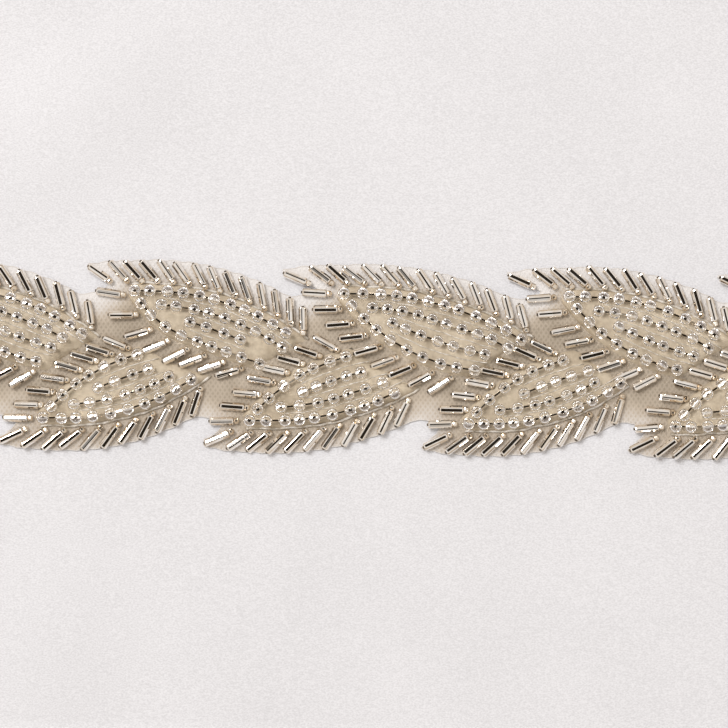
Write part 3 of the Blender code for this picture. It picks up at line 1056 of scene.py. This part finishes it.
def net_mesh(rim):
    """The net as triangles inside its rim, with its painted light kept at each point: light near the rim, painted
    shade further in among the beads, and less light painted on the lower side.
    """
    low = [min(point[k] for point in rim) for k in (0, 1)]
    high = [max(point[k] for point in rim) for k in (0, 1)]
    inside = []
    for i in range(int((high[0] - low[0]) / NET_GRID)):
        for j in range(int((high[1] - low[1]) / NET_GRID)):
            inside.append(Vector((low[0] + (i + 0.5) * NET_GRID, low[1] + (j + 0.5) * NET_GRID)))
    spots = [point.xy for point in rim] + inside
    loop = [list(range(len(rim)))]
    spots, _, faces, *_ = geometry.delaunay_2d_cdt(spots, [], loop, 1, 1e-6)
    used = sorted({i for face in faces for i in face})
    order = {old: new for new, old in enumerate(used)}
    mesh = bpy.data.meshes.new("net_sheet")
    mesh.from_pydata([(*spots[i], NET_Z) for i in used], [], [[order[i] for i in face] for face in faces])
    edge = np.array([point.xy for point in rim])
    light = mesh.attributes.new("sheer_rim_and_painted_light", "FLOAT", "POINT")
    for i, old in enumerate(used):
        away = np.hypot(*(edge - np.array(spots[old])).T).min()
        fade = max(0.0, 1 - away / NET_EDGE_FADE)
        # Painted light near the rim, fading to painted shade inwards; the lower side gets less, as painted shade.
        light.data[i].value = fade * (1.0 if spots[old].y > 0 else LOWER_EDGE_PAINTED_LIGHT)
    return mesh


def net_sheet(leaves, materials):
    rim = smoothed(net_rim(leaves))
    mesh = net_mesh(rim)
    area = sum(polygon.area for polygon in mesh.polygons)
    net = add_piece("net_sheet", mesh, materials["net"])
    solidify = net.modifiers.new("net_wall", "SOLIDIFY")
    solidify.thickness = NET_THICK
    solidify.offset = 1.0
    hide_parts("net_backing")
    edge = [Vector((point.x, point.y, NET_Z + NET_THICK)) for point in rim + rim[:1]]
    whipped = add_tubes("net_edge", [edge], 0.09 * MM, materials["thread"])
    return net, whipped, area


# The scene round the sash


def floor():
    bpy.ops.mesh.primitive_plane_add(size=8.0, location=(0, 0, -0.0002))
    plane = bpy.context.object
    plane.name = "floor"
    material, shader = new_material("pale_floor", (0.72, 0.71, 0.70), 0.8)
    mottle = noise_of(material, 6)
    colour = ramp_of(material, mottle, [(0.3, (0.70, 0.69, 0.68)), (0.7, (0.74, 0.73, 0.72))])
    material.node_tree.links.new(colour, shader.inputs["Base Color"])
    plane.data.materials.append(material)


def area_light(name, place, size, power, colour):
    data = bpy.data.lights.new(name, "AREA")
    data.shape = "RECTANGLE"
    data.size, data.size_y = size
    data.energy = power
    data.color = colour
    light = bpy.data.objects.new(name, data)
    light.location = place
    light.rotation_euler = (-Vector(place)).to_track_quat("-Z", "Y").to_euler()
    bpy.context.scene.collection.objects.link(light)


def studio():
    """Soft light from the top left, and a pale room that is dark straight above, where the camera is."""
    area_light("key", (-1.6, 1.7, 3.2), (1.5, 1.5), 89.0, (1.0, 0.98, 0.97))
    world = bpy.data.worlds.new("studio")
    world.use_nodes = True
    bpy.context.scene.world = world
    nodes, links = world.node_tree.nodes, world.node_tree.links
    place = nodes.new("ShaderNodeTexCoord")
    split = nodes.new("ShaderNodeSeparateXYZ")
    ramp = nodes.new("ShaderNodeValToRGB")
    stops = [
        (0.0, (0.45, 0.37, 0.30)),
        (0.40, (0.80, 0.69, 0.57)),
        (0.62, (1.0, 0.94, 0.88)),
        (0.88, (1.0, 0.965, 0.935)),
        (0.925, (0.03, 0.024, 0.018)),
    ]
    while len(ramp.color_ramp.elements) < len(stops):
        ramp.color_ramp.elements.new(0.5)
    for element, (position, colour) in zip(ramp.color_ramp.elements, stops):
        element.position = position
        element.color = (*colour, 1.0)
    links.new(place.outputs["Generated"], split.inputs["Vector"])
    links.new(split.outputs["Z"], ramp.inputs["Fac"])
    links.new(ramp.outputs["Color"], nodes["Background"].inputs["Color"])
    nodes["Background"].inputs["Strength"].default_value = 0.8


def camera():
    data = bpy.data.cameras.new("camera")
    data.sensor_width = SENSOR
    data.lens = SENSOR * CAMERA_HEIGHT / FRAME_WIDTH
    data.clip_start = 0.01
    view = bpy.data.objects.new("camera", data)
    view.location = FRAME_CENTRE + Vector((0, 0, CAMERA_HEIGHT))
    view.rotation_euler = (0, 0, CAMERA_ROLL)
    bpy.context.scene.collection.objects.link(view)
    bpy.context.scene.camera = view


def make_materials():
    return {
        "satin": satin_material(),
        "net": net_material(),
        "pad": pad_material(),
        "outline": outline_material(),
        "glass": glass_material(),
        "silver": mirror_material("silver_lining", (0.88, 0.80, 0.70), (0.98, 0.94, 0.89), 0.05),
        "gilt": mirror_material("gilt_link", (0.50, 0.40, 0.28), (0.85, 0.76, 0.64), 0.08),
        "sleeve": mirror_material("bright_sleeve", (0.93, 0.89, 0.84), (1.0, 0.99, 0.97), 0.35),
        "champagne": mirror_material("champagne_bead", (0.66, 0.53, 0.38), (0.97, 0.90, 0.80), 0.14),
        "thread": thread_material(),
        "hole": hole_material(),
    }


def clear_startup():
    for name in ("Cube", "Light", "Camera"):
        old = bpy.data.objects.get(name)
        if old:
            bpy.data.objects.remove(old)


clear_startup()
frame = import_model()
camera()
studio()
floor()
bpy.context.scene.view_settings.view_transform = "Standard"
materials = make_materials()
leaves = find_braid(frame["nodes"])
cloth = satin_cloth(materials["satin"])
stitches = hem_stitches(materials["thread"])
net, net_edge, net_area = net_sheet(leaves, materials)
for leaf in leaves:
    leaf_pad(leaf, materials["pad"])
add_tubes(
    "pad_outlines",
    [outline_route(leaf) for leaf in leaves],
    OUTLINE_RADIUS,
    materials["outline"],
)
add_tubes(
    "row_tapes",
    [route for leaf in leaves for route in tape_routes(leaf) if len(route) > 3],
    TAPE_RADIUS,
    materials["outline"],
)
add_beads(leaves, materials)
